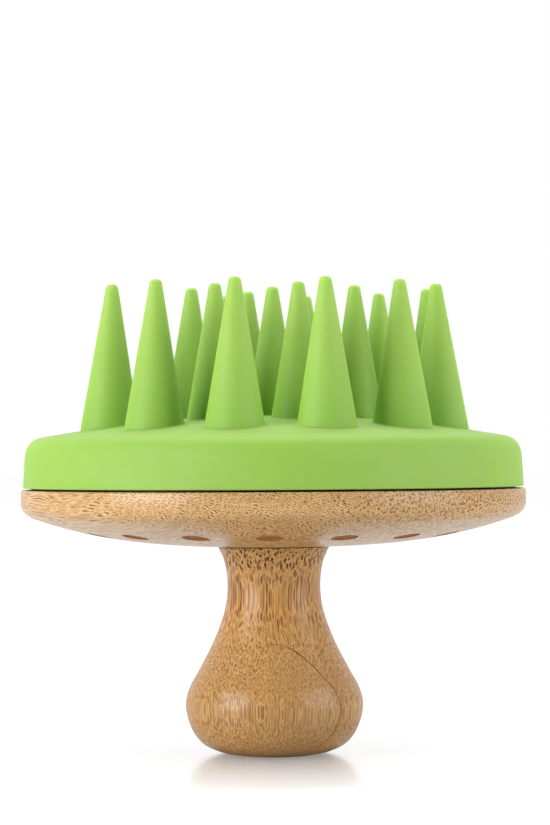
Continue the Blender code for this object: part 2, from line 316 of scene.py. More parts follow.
# The lights: name, azimuth and elevation in degrees, distance and size in metres, and power in watts.
LIGHTS = [
    ("key", -56, 14, 1.0, (0.7, 0.6), 10.7),
    ("fill", 66, 14, 1.1, (0.9, 0.9), 9.8),
    ("overhead", 180, 75, 1.0, (0.7, 0.5), 6.5),
]

# The world's brightness in front of the object and behind it, and where it turns from one to the other.
WORLD_STRENGTH = (0.05, 0.95)
WORLD_TURN = (-0.1, 0.8)

# How far from the axis the floor's polish starts to fade and has gone, its most, and its roughness.
POLISH_REACH = (9 * MM, 60 * MM)
POLISH_MOST = 0.72
POLISH_ROUGHNESS = 0.16

# Half the floor's width. It lies this far under the knob, so that the two faces don't coincide.
FLOOR_HALF = 6.0
FLOOR_DROP = 0.02 * MM

# The floor's own glow: under the knob and away from it, as the object sees it, and as the camera does. The
# weaker glow under the knob is painted shade, standing in for the knob's shadow on the floor.
FLOOR_GLOW = (0.12, 0.60)
FLOOR_GLOW_REACH = (5 * MM, 60 * MM)
FLOOR_GLOW_SEEN = 0.88


# Outlines.


def weighted(weights, points):
    """The point between several, each counted with its weight."""
    return tuple(sum(w * p[k] for w, p in zip(weights, points)) for k in (0, 1))


def bend(start, corner, end, pieces):
    """Points of a smooth bend from start to end that leaves start and meets end towards corner."""
    points = []
    for i in range(pieces + 1):
        t = i / pieces
        weights = ((1 - t) ** 2, 2 * t * (1 - t), t * t)
        points.append(weighted(weights, (start, corner, end)))
    return points


def through(points, pieces):
    """A Catmull-Rom curve through all the points, with that many pieces to each span."""
    line = []
    for i in range(len(points) - 1):
        before = points[max(i - 1, 0)]
        here, there = points[i], points[i + 1]
        after = points[min(i + 2, len(points) - 1)]
        for j in range(pieces):
            t = j / pieces
            weights = (
                -0.5 * t + t**2 - 0.5 * t**3,
                1 - 2.5 * t**2 + 1.5 * t**3,
                0.5 * t + 2 * t**2 - 1.5 * t**3,
                -0.5 * t**2 + 0.5 * t**3,
            )
            line.append(weighted(weights, (before, here, there, after)))
    return line + [points[-1]]


def rounded(points, radius, pieces=4):
    """The outline with each corner between its ends replaced by a small round."""
    line = [points[0]]
    for before, corner, after in zip(points, points[1:], points[2:]):
        here = Vector(corner)
        back, on = Vector(before) - here, Vector(after) - here
        reach = min(radius, back.length * MOST_ROUND, on.length * MOST_ROUND)
        start, end = here + back.normalized() * reach, here + on.normalized() * reach
        line += bend(start, here, end, pieces)
    return line + [points[-1]]


def evenly(low, high, pieces):
    return [low + (high - low) * i / pieces for i in range(pieces + 1)]


def around(count, radius, first_angle=0.0):
    """Points evenly round the axis, as (x, y, angle). Only first_angle is in degrees."""
    for i in range(count):
        angle = math.radians(first_angle) + 2 * math.pi * i / count
        yield radius * math.cos(angle), radius * math.sin(angle), angle


def dome_height(radius, apex=PAD_APEX):
    return apex - radius**2 / (2 * DOME_RADIUS)


def belly_height(radius):
    """Height of the disc's shallow underside at that radius."""
    return DISC_LOW.z + BELLY_RISE * (radius / BELLY_RADIUS) ** 3


# Mesh building.


class Skin:
    """A closed mesh grown from loops of points.

    A loop is a list of point numbers, anticlockwise from above.
    """

    def __init__(self, name):
        self.name = name
        self.points = []
        self.faces = []
        self.slots = []

    def loop(self, points):
        first = len(self.points)
        self.points += [tuple(p) for p in points]
        return list(range(first, len(self.points)))

    def ring(self, radius, height, steps=TURN_STEPS, centre=(0.0, 0.0)):
        """A level ring. Its height can also be a function of the distance from the axis."""
        places = [(centre[0] + x, centre[1] + y) for x, y, _ in around(steps, radius)]
        if callable(height):
            return self.loop((x, y, height(math.hypot(x, y))) for x, y in places)
        return self.loop((x, y, height) for x, y in places)

    def face(self, corners, slot=0):
        self.faces.append(tuple(corners))
        self.slots.append(slot)

    def bridge(self, upper, lower, slot=0):
        """A band of faces between two loops, facing away from the axis where lower is the lower one."""
        for i, corner in enumerate(upper):
            j = (i + 1) % len(upper)
            self.face((corner, lower[i], lower[j], upper[j]), slot)

    def cap(self, loop, centre, facing_up, slot=0):
        """Triangles from a loop to one point in its middle."""
        middle = self.loop([centre])[0]
        for i, corner in enumerate(loop):
            following = loop[(i + 1) % len(loop)]
            self.face((corner, following, middle) if facing_up else (following, corner, middle), slot)

    def turn(self, outline):
        """Bands down a turned outline of (radius, height). Returns all its loops."""
        loops = [self.ring(radius, height) for radius, height in outline]
        for upper, lower in zip(loops, loops[1:]):
            self.bridge(upper, lower)
        return loops

    def sheet(self, height, outer, holes, spacing, facing_up):
        """Triangles that fill an outer loop round the axis, apart from the holes, at height(radius).

        Each hole is (x, y, radius, loop).
        """
        plan, number, edges = [], [], []
        for loop in [outer, *[hole[3] for hole in holes]]:
            first = len(plan)
            plan += [Vector(self.points[i][:2]) for i in loop]
            number += loop
            edges += [(first + i, first + (i + 1) % len(loop)) for i in range(len(loop))]
        loose = loose_points(plan[0].length, holes, spacing)
        number += self.loop((p.x, p.y, height(p.length)) for p in loose)
        found, _, faces, origins, _, _ = delaunay_2d_cdt(plan + loose, edges, [], 0, 1e-9)
        for corners in faces:
            middle = sum((found[i] for i in corners), Vector((0.0, 0.0))) / len(corners)
            if not in_a_hole(middle, holes):
                face = [number[origins[i][0]] for i in corners]
                self.face(face if facing_up else face[::-1])

    def make(self, materials):
        mesh = bpy.data.meshes.new(self.name)
        mesh.from_pydata(self.points, [], self.faces)
        for material in materials:
            mesh.materials.append(material)
        mesh.polygons.foreach_set("material_index", self.slots)
        mesh.shade_smooth()
        mesh.set_sharp_from_angle(angle=SHARP_EDGE)
        obj = bpy.data.objects.new(self.name, mesh)
        bpy.context.scene.collection.objects.link(obj)
        return obj


def loose_points(reach, holes, spacing):
    """The points inside a sheet of that radius: a ring round each hole, then evenly spaced rows."""
    loose = []
    for x, y, radius, loop in holes:
        for dx, dy, _ in around(len(loop), radius + HOLE_RING * spacing):
            loose.append(Vector((x + dx, y + dy)))
    rows = int(reach / (spacing * ROW_STEP)) + 1
    for row in range(-rows, rows + 1):
        for column in range(-rows, rows + 1):
            point = Vector(((column + 0.5 * (row % 2)) * spacing, row * spacing * ROW_STEP))
            if point.length < reach - EDGE_CLEARANCE * spacing and clear_of(point, holes, spacing):
                loose.append(point)
    return loose


def clear_of(point, holes, spacing):
    """Whether the point is far enough from every hole."""
    clearance = HOLE_CLEARANCE * spacing
    return all((point - Vector((x, y))).length > radius + clearance for x, y, radius, _ in holes)


def in_a_hole(point, holes):
    """Whether the point lies in a hole. A hole's loop has straight sides, which lie inside its circle."""
    for x, y, radius, loop in holes:
        if (point - Vector((x, y))).length < radius * math.cos(math.pi / len(loop)):
            return True
    return False


# The pad.


def cone_radius(drop):
    """Radius of a cone that far below its tip."""
    return CONE_TIP_RADIUS + CONE_TAPER * drop


def cone_line(root, corner, foot_radius, side):
    """A cone's outline in one direction, from its root on the dome to its tip, as (radius, height)."""
    top = PAD_HIGH.z
    low = corner + CONE_FILLET
    line = bend((foot_radius, root), (side, corner), (cone_radius(top - low), low), CONE_FILLET_STEPS)
    heights = evenly(low, top - CONE_TIP_ROUND, CONE_SIDE_STEPS)[1:]
    line += [(cone_radius(top - height), height) for height in heights]
    edge = line[-1][0]
    round_corner, round_end = (edge * CONE_ROUND_CORNER, top), (edge * CONE_ROUND_END, top)
    return line + bend(line[-1], round_corner, round_end, CONE_ROUND_STEPS)[1:]


def add_cone(skin, tip, lean, angle):
    """One cone, from its fillet on the dome up to its tip. Returns the hole that it leaves in the dome."""
    top = PAD_HIGH.z
    outward = Vector((math.cos(angle), math.sin(angle)))
    turns = [turn for _, _, turn in around(CONE_SEGMENTS, 1.0)]

    def axis(height):
        return Vector(tip) + outward * math.tan(lean) * (top - height)

    def beside(height, radius, turn):
        return axis(height) + Vector((math.cos(turn), math.sin(turn))) * radius

    foot = dome_height(Vector(tip).length)
    side = cone_radius(top - foot)
    foot_radius = side + CONE_FILLET
    roots = [dome_height(beside(foot, foot_radius, turn).length) for turn in turns]
    corners = [dome_height(beside(foot, side, turn).length) for turn in turns]
    lines = [cone_line(root, corner, foot_radius, side) for root, corner in zip(roots, corners)]
    rings = []
    for places in zip(*lines):
        points = []
        for (radius, height), turn in zip(places, turns):
            spot = beside(max(height, foot), radius, turn)
            points.append((spot.x, spot.y, height))
        rings.append(skin.loop(points))
    for lower, upper in zip(rings, rings[1:]):
        skin.bridge(upper, lower)
    skin.cap(rings[-1], (*tip, top), True)
    return *axis(foot), foot_radius, rings[0]


def make_pad(material):
    """The whole silicone moulding: nineteen cones, dome, skirt and the cavity under it."""
    skin = Skin("silicone_pad")
    holes = []
    for count, radius, lean in CONE_RINGS:
        for x, y, angle in around(count, radius):
            holes.append(add_cone(skin, (x, y), math.radians(lean), angle))
    shoulder = bend(
        (SHOULDER_INNER, dome_height(SHOULDER_INNER)),
        (SHOULDER_CORNER, dome_height(SHOULDER_CORNER)),
        (SHOULDER_OUTER, SHOULDER_DROP),
        SHOULDER_STEPS,
    )
    lip_inner = PAD_HIGH.x - LIP_THICKNESS
    cavity_side = CARRIER_SIDE + SEAT_GAP
    cavity_edge = cavity_side - CEILING_BORDER
    ceiling = PAD_APEX - PAD_SKIN
    lip = [
        (SHOULDER_OUTER, SHOULDER_DROP),
        (PAD_HIGH.x, PAD_LOW.z),
        (lip_inner, PAD_LOW.z),
        (lip_inner, FLANGE_TOP + SEAT_GAP),
        (cavity_side, FLANGE_TOP + SEAT_GAP),
        (cavity_side, dome_height(cavity_side, ceiling)),
        (cavity_edge, dome_height(cavity_edge, ceiling)),
    ]
    inner = [(r, dome_height(r, ceiling)) for r in evenly(cavity_edge, 0.0, CEILING_STEPS)[1:-1]]
    loops = skin.turn([*shoulder, *rounded(lip, LIP_ROUND)[1:], *inner])
    skin.sheet(dome_height, loops[0], holes, DOME_SPACING, True)
    skin.cap(loops[-1], (0.0, 0.0, ceiling), False)
    return skin.make([material])


# The carrier.


def add_well(skin, centre, roof, ceiling):
    """One screw well and the boss under it. Returns the holes that they leave in the roof and the ceiling."""
    mouth = WELL_RADIUS + CARRIER_ROUND
    edge = bend((mouth, 0.0), (WELL_RADIUS, 0.0), (WELL_RADIUS, CARRIER_ROUND), WELL_ROUND_STEPS)
    rings = []
    for radius, drop in edge:
        rings.append(skin.ring(radius, lambda r, drop=drop: dome_height(r, roof) - drop, WELL_STEPS, centre))
    for radius, height in (
        (WELL_RADIUS, BOSS_FLOOR),
        (THREAD_HOLE_RADIUS, BOSS_FLOOR),
        (THREAD_HOLE_RADIUS, CARRIER_LOW.z),
        (BOSS_RADIUS, CARRIER_LOW.z),
    ):
        rings.append(skin.ring(radius, height, WELL_STEPS, centre))
    rings.append(skin.ring(BOSS_RADIUS, lambda r: dome_height(r, ceiling), WELL_STEPS, centre))
    for outer, inner in zip(rings, rings[1:]):
        skin.bridge(inner, outer)
    return (*centre, mouth, rings[0]), (*centre, BOSS_RADIUS, rings[-1])


def make_carrier(material):
    """The domed carrier, with four wells that its screws stand in and a boss under each."""
    skin = Skin("pad_carrier")
    roof = PAD_APEX - PAD_SKIN - SEAT_GAP
    ceiling = roof - CARRIER_WALL
    inner_side = CARRIER_SIDE - CARRIER_WALL
    roof_edge = CARRIER_SIDE - ROOF_BORDER
    ceiling_edge = inner_side - UNDERSIDE_BORDER
    edge = [
        (roof_edge, dome_height(roof_edge, roof)),
        (CARRIER_SIDE, dome_height(CARRIER_SIDE, roof)),
        (CARRIER_SIDE, FLANGE_TOP),
        (CARRIER_HIGH.x, FLANGE_TOP),
        (CARRIER_HIGH.x, CARRIER_LOW.z),
        (inner_side, CARRIER_LOW.z),
        (inner_side, dome_height(inner_side, ceiling)),
        (ceiling_edge, dome_height(ceiling_edge, ceiling)),
    ]
    loops = skin.turn(rounded(edge, CARRIER_ROUND))
    wells, bosses = [], []
    for x, y, _ in around(SCREW_COUNT, SCREW_CIRCLE, SCREW_FIRST_ANGLE):
        well, boss = add_well(skin, (x, y), roof, ceiling)
        wells.append(well)
        bosses.append(boss)
    skin.sheet(lambda r: dome_height(r, roof), loops[0], wells, ROOF_SPACING, True)
    skin.sheet(lambda r: dome_height(r, ceiling), loops[-1], bosses, UNDERSIDE_SPACING, False)
    return skin.make([material])


# The bamboo disc and knob.


def add_dot(skin, centre):
    """One shallow burnt dot in the belly, in the second material. Returns the hole that it fills."""
    corner, floor = DOT_RADIUS - DOT_CORNER_INSET, DOT_RADIUS - DOT_ROUND_WIDTH
    outline = bend((DOT_RADIUS, 0.0), (corner, DOT_DEPTH), (floor, DOT_DEPTH), DOT_ROUND_STEPS)
    outline += [(DOT_RADIUS * share, DOT_DEPTH) for share in DOT_INNER_RINGS]
    rings = []
    for radius, deep in outline:
        rings.append(skin.ring(radius, lambda r, deep=deep: belly_height(r) + deep, DOT_STEPS, centre))
    for wide, narrow in zip(rings, rings[1:]):
        skin.bridge(wide, narrow, 1)
    skin.cap(rings[-1], (*centre, belly_height(DOT_CIRCLE) + DOT_DEPTH), False, 1)
    return *centre, DOT_RADIUS, rings[0]


def make_disc(bamboo, burnt):
    """The turned disc: recess and counterbore on top, rim, and the belly with its ring of burnt dots."""
    skin = Skin("bamboo_disc")
    radius = DISC_HIGH.x
    recess_floor = DISC_HIGH.z - RECESS_DEPTH
    recess_radius = CARRIER_HIGH.x + SEAT_GAP
    counterbore_floor = recess_floor - COUNTERBORE_DEPTH
    rim_round = bend(
        (radius, RIM_BOTTOM),
        (radius - RIM_CORNER_INSET, RIM_CORNER_HEIGHT),
        (BELLY_RADIUS, belly_height(BELLY_RADIUS)),
        RIM_STEPS,
    )
    top = [
        (BOLT_HOLE_RADIUS, DISC_LOW.z),
        (BOLT_HOLE_RADIUS, counterbore_floor),
        (COUNTERBORE_RADIUS, counterbore_floor),
        (COUNTERBORE_RADIUS, recess_floor),
        (recess_radius, recess_floor),
        (recess_radius, DISC_HIGH.z),
        (radius, DISC_HIGH.z),
        (radius, RIM_BOTTOM),
    ]
    seat = [(SEAT_RADIUS, belly_height(SEAT_RADIUS)), (BOLT_HOLE_RADIUS + BOLT_HOLE_CHAMFER, DISC_LOW.z)]
    outer = skin.turn([*rounded(top, DISC_EDGE_ROUND)[1:], *rim_round[1:]])
    inner = skin.turn(seat)
    skin.bridge(inner[-1], outer[0])
    half_step = 360 / DOT_COUNT / 2
    holes = [add_dot(skin, (x, y)) for x, y, _ in around(DOT_COUNT, DOT_CIRCLE, half_step)]
    holes.append((0.0, 0.0, SEAT_RADIUS, inner[0]))
    skin.sheet(belly_height, outer[-1], holes, BELLY_SPACING, False)
    return skin.make([bamboo, burnt])


def make_knob(bamboo):
    """The turned knob, with the insert's bore in its head and a flat foot."""
    skin = Skin("bamboo_knob")
    head = [
        (INSERT_BORE_RADIUS, INSERT_BORE_FLOOR),
        (INSERT_BORE_RADIUS, KNOB_OUTLINE[0][1]),
        KNOB_OUTLINE[0],
        KNOB_OUTLINE[1],
    ]
    side = through(KNOB_OUTLINE, KNOB_SPAN_STEPS)
    foot = [(KNOB_OUTLINE[-1][0] * share, 0.0) for share in KNOB_FOOT_RINGS]
    loops = skin.turn([*rounded(head, KNOB_HEAD_ROUND)[:-1], *side[1:], *foot])
    skin.cap(loops[0], (0.0, 0.0, INSERT_BORE_FLOOR), True)
    skin.cap(loops[-1], (0.0, 0.0, 0.0), False)
    return skin.make([bamboo])


# Materials.


class Shader:
    """One material's node tree.

    Most methods add a node and return the socket that carries its result.
    """

    def __init__(self, name):
        self.material = bpy.data.materials.new(name)
        self.material.use_nodes = True
        self.tree = self.material.node_tree
        self.surface = self.tree.nodes["Principled BSDF"]

    def node(self, kind, inputs=(), **settings):
        """A new node, and not its socket. Each input is a value, or a socket to link to."""
        made = self.tree.nodes.new(kind)
        for name, value in settings.items():
            setattr(made, name, value)
        for key, value in dict(inputs).items():
            if isinstance(value, bpy.types.NodeSocket):
                self.tree.links.new(value, made.inputs[key])
            else:
                made.inputs[key].default_value = value
        return made

    def place(self):
        """The point's own coordinates, in metres in the row frame."""
        return self.node("ShaderNodeTexCoord").outputs["Object"]

    def math(self, operation, a, b=0.0, clamp=False):
        return self.node("ShaderNodeMath", {0: a, 1: b}, operation=operation, use_clamp=clamp).outputs[0]

    def vector_math(self, operation, a, b):
        return self.node("ShaderNodeVectorMath", {0: a, 1: b}, operation=operation).outputs[0]

    def along(self, place, direction):
        """How far the point lies along a direction."""
        inputs = {0: place, 1: direction}
        return self.node("ShaderNodeVectorMath", inputs, operation="DOT_PRODUCT").outputs["Value"]

    def length(self, place):
        return self.node("ShaderNodeVectorMath", {0: place}, operation="LENGTH").outputs["Value"]

    def vector(self, x, y, z):
        return self.node("ShaderNodeCombineXYZ", {0: x, 1: y, 2: z}).outputs[0]

    def noise(self, place, size, detail=2.0, roughness=0.5):
        """Noise between 0 and 1 with features of about that size in metres."""
        inputs = {"Vector": place, "Scale": 1 / size, "Detail": detail, "Roughness": roughness}
        return self.node("ShaderNodeTexNoise", inputs).outputs["Fac"]

    def spread(self, value, low, high, to_low=0.0, to_high=1.0, smooth=True):
        """The value mapped from low..high to to_low..to_high. Low may be the greater of the two."""
        inputs = {"Value": value, "From Min": low, "From Max": high, "To Min": to_low, "To Max": to_high}
        kind = "SMOOTHSTEP" if smooth else "LINEAR"
        return self.node("ShaderNodeMapRange", inputs, interpolation_type=kind).outputs["Result"]

    def line(self, value, middle, widths, most=1.0):
        """A thin line where the value is near its middle. Widths are where it has faded out and is whole."""
        away = self.math("ABSOLUTE", self.math("SUBTRACT", value, middle))
        return self.spread(away, *widths, 0.0, most)

    def mix(self, share, a, b, blend="MIX"):
        """Colour a with colour b over it."""
        made = self.node("ShaderNodeMix", data_type="RGBA", blend_type=blend)
        colour_inputs = [socket for socket in made.inputs if socket.type == "RGBA"]
        for socket, value in zip([made.inputs[0], *colour_inputs], (share, a, b)):
            if isinstance(value, bpy.types.NodeSocket):
                self.tree.links.new(value, socket)
            else:
                socket.default_value = value if socket.type == "VALUE" else (*value, 1.0)
        return next(socket for socket in made.outputs if socket.type == "RGBA")

    def layer(self, base, pattern, strength, colour):
        """The base colour with another over it where the pattern is, with that strength."""
        return self.mix(self.math("MULTIPLY", pattern, strength, clamp=True), base, colour)

    def bump(self, height, distance):
        inputs = {"Height": height, "Distance": distance, "Strength": 1.0}
        return self.node("ShaderNodeBump", inputs).outputs["Normal"]

    def finish(self, **sockets):
        """Sets or links the surface's own sockets, named with underscores for spaces."""
        for name, value in sockets.items():
            socket = self.surface.inputs[name.replace("_", " ")]
            if isinstance(value, bpy.types.NodeSocket):
                self.tree.links.new(value, socket)
            else:
                socket.default_value = (*value, 1.0) if socket.type == "RGBA" else value
        return self.material


def silicone_material():
    """Matt, slightly translucent rubber."""
    shader = Shader("green_silicone")
    place = shader.place()
    cloud = shader.noise(place, 14 * MM)
    colour = shader.mix(cloud, *SILICONE_TONES)
    # Painted light: towards the tips the colour is made paler, standing in for light through the thin
    # silicone.
    painted_tip_light = shader.spread(shader.along(place, UP), PAINTED_TIP_LIGHT_FROM, PAD_HIGH.z, smooth=False)
    colour = shader.mix(painted_tip_light, colour, SILICONE_TIP_PAINTED_LIGHT, "MULTIPLY")
    grain = shader.noise(place, 0.28 * MM, detail=3.0, roughness=0.6)
    return shader.finish(
        Base_Color=colour,
        Roughness=shader.spread(shader.noise(place, 5 * MM), *MIDDLE_NOISE, 0.64, 0.70),
        Normal=shader.bump(grain, 0.012 * MM),
        Subsurface_Weight=0.7,
        Subsurface_Radius=(0.5, 1.0, 0.25),
        Subsurface_Scale=3.0 * MM,
        Sheen_Weight=0.06,
        Sheen_Roughness=0.4,
        Specular_IOR_Level=0.9,
    )


def plastic_material():
    """Black moulded plastic with a fine grain."""
    shader = Shader("black_plastic")
    place = shader.place()
    grain = shader.noise(place, 0.18 * MM, detail=3.0, roughness=0.6)
    cloud = shader.noise(place, 9 * MM, detail=3.0)
    return shader.finish(
        Base_Color=shader.mix(cloud, *PLASTIC_TONES),
        Roughness=shader.spread(cloud, *MIDDLE_NOISE, 0.42, 0.55),
        Specular_IOR_Level=0.2,
        Normal=shader.bump(grain, 0.02 * MM),
    )


def bundles(shader, u, w, size, radii, core):
    """The bundles of fibre in a bamboo's cross-section, as (dark, pale) patterns between 0 and 1.

    Each one is a pale core between two dark caps, in a faint halo. Size is their spacing in metres, radii the
    least and greatest radius as a share of it, and core how pale the middle is, from 0 for a solid spot to 1.
    """
    here = shader.vector(u, w, 0.0)
    inputs = {"Vector": here, "Scale": 1 / size, "Randomness": BUNDLE_SCATTER}
    cell = shader.node("ShaderNodeTexVoronoi", inputs, voronoi_dimensions="2D", feature="F1")
    chance = shader.along(cell.outputs["Color"], (1.0, 0.0, 0.0))
    strength = shader.along(cell.outputs["Color"], (0.0, 1.0, 0.0))
    offset = shader.vector_math("SUBTRACT", here, cell.outputs["Position"])
    angle = shader.spread(strength, 0.0, 1.0, *BUNDLE_TURN, smooth=False)
    inputs = {"Vector": offset, "Angle": angle}
    turned = shader.node("ShaderNodeVectorRotate", inputs, rotation_type="Z_AXIS").outputs[0]
    radius = shader.spread(chance, 0.0, 1.0, radii[0] * size, radii[1] * size, smooth=False)
    inputs = {0: turned, "Scale": shader.math("DIVIDE", 1.0, radius)}
    in_radii = shader.node("ShaderNodeVectorMath", inputs, operation="SCALE").outputs[0]
    reach = shader.length(in_radii)
    between = shader.length(shader.vector_math("MULTIPLY", in_radii, GAP_SHAPE))
    beside_core = shader.spread(between, *CAP_GAP, 1 - core, 1.0)
    caps = shader.math("MULTIPLY", shader.spread(reach, *CAP_REACH), beside_core)
    depth = shader.spread(strength, 0.0, 1.0, *CAP_STRENGTH)
    in_core = shader.spread(between, *CORE_WIDTH, 0.0, core)
    middle = shader.math("MULTIPLY", in_core, shader.spread(reach, *CORE_REACH))
    halo = shader.spread(reach, *HALO_REACH, 0.0, HALO_STRENGTH)
    return shader.math("MULTIPLY", caps, depth), shader.math("MAXIMUM", middle, halo)


def bamboo_grain(shader, axes, fine_share, coarse, fine, lean=None):
    """What every bamboo piece shares, as (u, w, along, dark, pale, streaks).

    Axes are the fibre's direction and two more, square to it. Along is the distance along the fibre, and u
    and w are those along the other two, with the fibres' wander in them. The last three are patterns between
    0 and 1. The bundles are the fine ones where fine_share(u, w) is 1 and the coarse ones where it is 0. Lean
    shifts w with the distance along the fibre: it is (low, high, shift at low, shift at high).
    """
    place = shader.place()
    along, across, third = (shader.along(place, axis) for axis in axes)
    drift = shader.noise(shader.vector(along, across, third), WANDER_LENGTH, detail=1.0)
    sway = shader.spread(drift, 0.0, 1.0, -FIBRE_WANDER, FIBRE_WANDER, smooth=False)
    u = shader.math("ADD", across, sway)
    w = shader.math("ADD", third, sway)
    share = fine_share(u, w)
    if lean:
        w = shader.math("ADD", w, shader.spread(along, *lean))
    pairs = zip(bundles(shader, u, w, *coarse), bundles(shader, u, w, *fine))
    dark, pale = (shader.node("ShaderNodeMix", {0: share, 2: a, 3: b}).outputs[0] for a, b in pairs)
    specks, _ = bundles(shader, w, u, *SPECKS)
    dark = shader.math("MAXIMUM", dark, shader.math("MULTIPLY", specks, SPECK_STRENGTH))
    thread = shader.vector(shader.math("MULTIPLY", along, STREAK_SHARE), u, w)
    streaks = shader.spread(shader.noise(thread, STREAK_WIDTH, roughness=0.6), *STREAK_NOISE)
    return u, w, along, dark, pale, streaks


def wood(shader, grain, cloud_size, tones):
    """The plain wood, in clouds between two tones that are long along the fibre."""
    u, w, along = grain[:3]
    place = shader.vector(shader.math("MULTIPLY", along, CLOUD_SHARE), u, w)
    return shader.mix(shader.noise(place, cloud_size), *tones)


def waxed(shader, colour, grain, roughness, depth, coat, coat_roughness):
    """Finishes a bamboo material in that colour, with its streaks in relief, under a thin soft coat."""
    dark, _, streaks = grain[3:]
    return shader.finish(
        Base_Color=colour,
        Roughness=shader.spread(streaks, *MOST_NOISE, *roughness),
        Normal=shader.bump(shader.math("SUBTRACT", streaks, dark), depth),
        Specular_IOR_Level=0.08,
        Coat_Weight=coat,
        Coat_Roughness=coat_roughness,
        Coat_IOR=1.45,
    )


def disc_bamboo_material():
    """Fibres lie flat. They come out of the rim to the right of the camera, and lie along it at the left."""
    shader = Shader("disc_bamboo")
    sine, cosine = math.sin(DISC_FIBRE_TURN), math.cos(DISC_FIBRE_TURN)

    def fine_share(u, w):
        patches = shader.noise(shader.vector(u, w, 0.0), DISC_FINE_PATCH)
        patches = shader.spread(patches, *MOST_NOISE, -DISC_FINE_RAGGED, DISC_FINE_RAGGED)
        return shader.spread(shader.math("ADD", u, patches), *DISC_FINE_START)

    axes = ((cosine, sine, 0.0), (-sine, cosine, 0.0), UP)
    grain = bamboo_grain(shader, axes, fine_share, DISC_COARSE, DISC_FINE)
    u, _, _, dark, pale, streaks = grain
    base = wood(shader, grain, 9 * MM, DISC_TONES)
    # Lighter to the right: partly the wood's own tone and partly painted light for the fill light on that
    # side.
    base = shader.mix(shader.spread(u, *DISC_LIGHTER), base, DISC_TONE_AND_PAINTED_LIGHT_TINT, "MULTIPLY")
    left_strip = shader.spread(u, *DISC_LEFT_STRIP_EDGE)
    base = shader.mix(left_strip, base, DISC_LEFT_STRIP)
    base = shader.layer(base, streaks, STREAK_STRENGTH, DISC_STREAK)
    base = shader.layer(base, pale, DISC_PALE_STRENGTH, DISC_PALE)
    strength = shader.spread(left_strip, 0.0, 1.0, *DISC_SPOT_STRENGTH)
    spot = shader.mix(shader.spread(u, *DISC_DARK_START), *DISC_SPOTS)
    base = shader.layer(base, dark, strength, spot)
    return waxed(shader, base, grain, (0.46, 0.60), 0.02 * MM, coat=0.70, coat_roughness=0.25)


def glued(shader, base):
    """The knob's colour with its two glue lines, and the strip of wood in front of the first one."""
    place = shader.place()
    u, w = shader.along(place, RIGHT), shader.along(place, FRONT)
    started = shader.spread(u, *GLUE_START)
    glue = shader.math("MULTIPLY", shader.line(w, GLUE_DEPTH, GLUE_WIDTHS), started)
    glue = shader.math("MULTIPLY", glue, shader.spread(u, *GLUE_DARKENS, GLUE_LEAST, 1.0))
    cross = shader.line(u, CROSS_GLUE_PLACE, CROSS_GLUE_WIDTHS, CROSS_GLUE_STRENGTH)
    in_front = shader.spread(w, GLUE_DEPTH - CROSS_GLUE_EDGE, GLUE_DEPTH + CROSS_GLUE_EDGE)
    cross = shader.math("MULTIPLY", cross, in_front)
    strip = shader.spread(w, GLUE_DEPTH - FRONT_STRIP_EDGE, GLUE_DEPTH + FRONT_STRIP_EDGE)
    strip = shader.math("MULTIPLY", strip, started)
    base = shader.layer(base, strip, FRONT_STRIP_STRENGTH, KNOB_FRONT_STRIP)
    base = shader.mix(glue, base, GLUE)
    return shader.mix(cross, base, CROSS_GLUE)


def knob_bamboo_material():
    """Fibres stand upright. The block is glued up from strips, and two of its joints show."""
    shader = Shader("knob_bamboo")

    def fine_share(u, w):
        return shader.spread(shader.length(shader.vector(u, w, 0.0)), *KNOB_FINE_START)

    grain = bamboo_grain(shader, (UP, RIGHT, FRONT), fine_share, KNOB_COARSE, KNOB_FINE, KNOB_LEAN)
    _, _, height, dark, pale, streaks = grain
    flare = shader.spread(height, *KNOB_FLARE)
    base = wood(shader, grain, 5 * MM, KNOB_TONES)
    # The neck is made lighter as painted light, under the disc's shade, and warmer as the wood's own tone.
    base = shader.mix(shader.spread(height, *KNOB_NECK_LIGHT_AND_TONE), base, KNOB_NECK_LIGHT_AND_TONE_TINT, "MULTIPLY")
    base = shader.layer(base, streaks, STREAK_STRENGTH, KNOB_STREAK)
    base = shader.layer(base, pale, KNOB_PALE_STRENGTH, KNOB_PALE)
    base = shader.mix(flare, base, KNOB_FLARE_TINT, "MULTIPLY")
    strength = shader.spread(flare, 0.0, 1.0, *KNOB_SPOT_STRENGTH)
    base = shader.layer(base, dark, strength, shader.mix(flare, *KNOB_SPOTS))
    base = glued(shader, base)
    return waxed(shader, base, grain, (0.42, 0.55), 0.03 * MM, coat=0.62, coat_roughness=0.27)


def burnt_material():
    """Bamboo scorched to an uneven brown."""
    shader = Shader("burnt_bamboo")
    soot = shader.noise(shader.place(), 0.5 * MM, detail=3.0, roughness=0.6)
    return shader.finish(
        Base_Color=shader.mix(soot, *BURNT_TONES),
        Roughness=shader.spread(soot, *MOST_NOISE, 0.6, 0.8),
        Normal=shader.bump(soot, 0.03 * MM),
        Specular_IOR_Level=0.2,
    )


def metal_material(name, tones, roughness):
    """Metal worn in patches, with fine lines round it."""
    shader = Shader(name)
    place = shader.place()
    patches = shader.noise(place, 1.2 * MM, detail=3.0)
    lines = shader.noise(shader.vector_math("MULTIPLY", place, LATHE_SQUEEZE), 0.4 * MM)
    return shader.finish(
        Base_Color=shader.mix(patches, *tones),
        Metallic=1.0,
        Roughness=shader.spread(lines, *MOST_NOISE, roughness - 0.08, roughness + 0.1),
        Normal=shader.bump(lines, 0.01 * MM),
    )


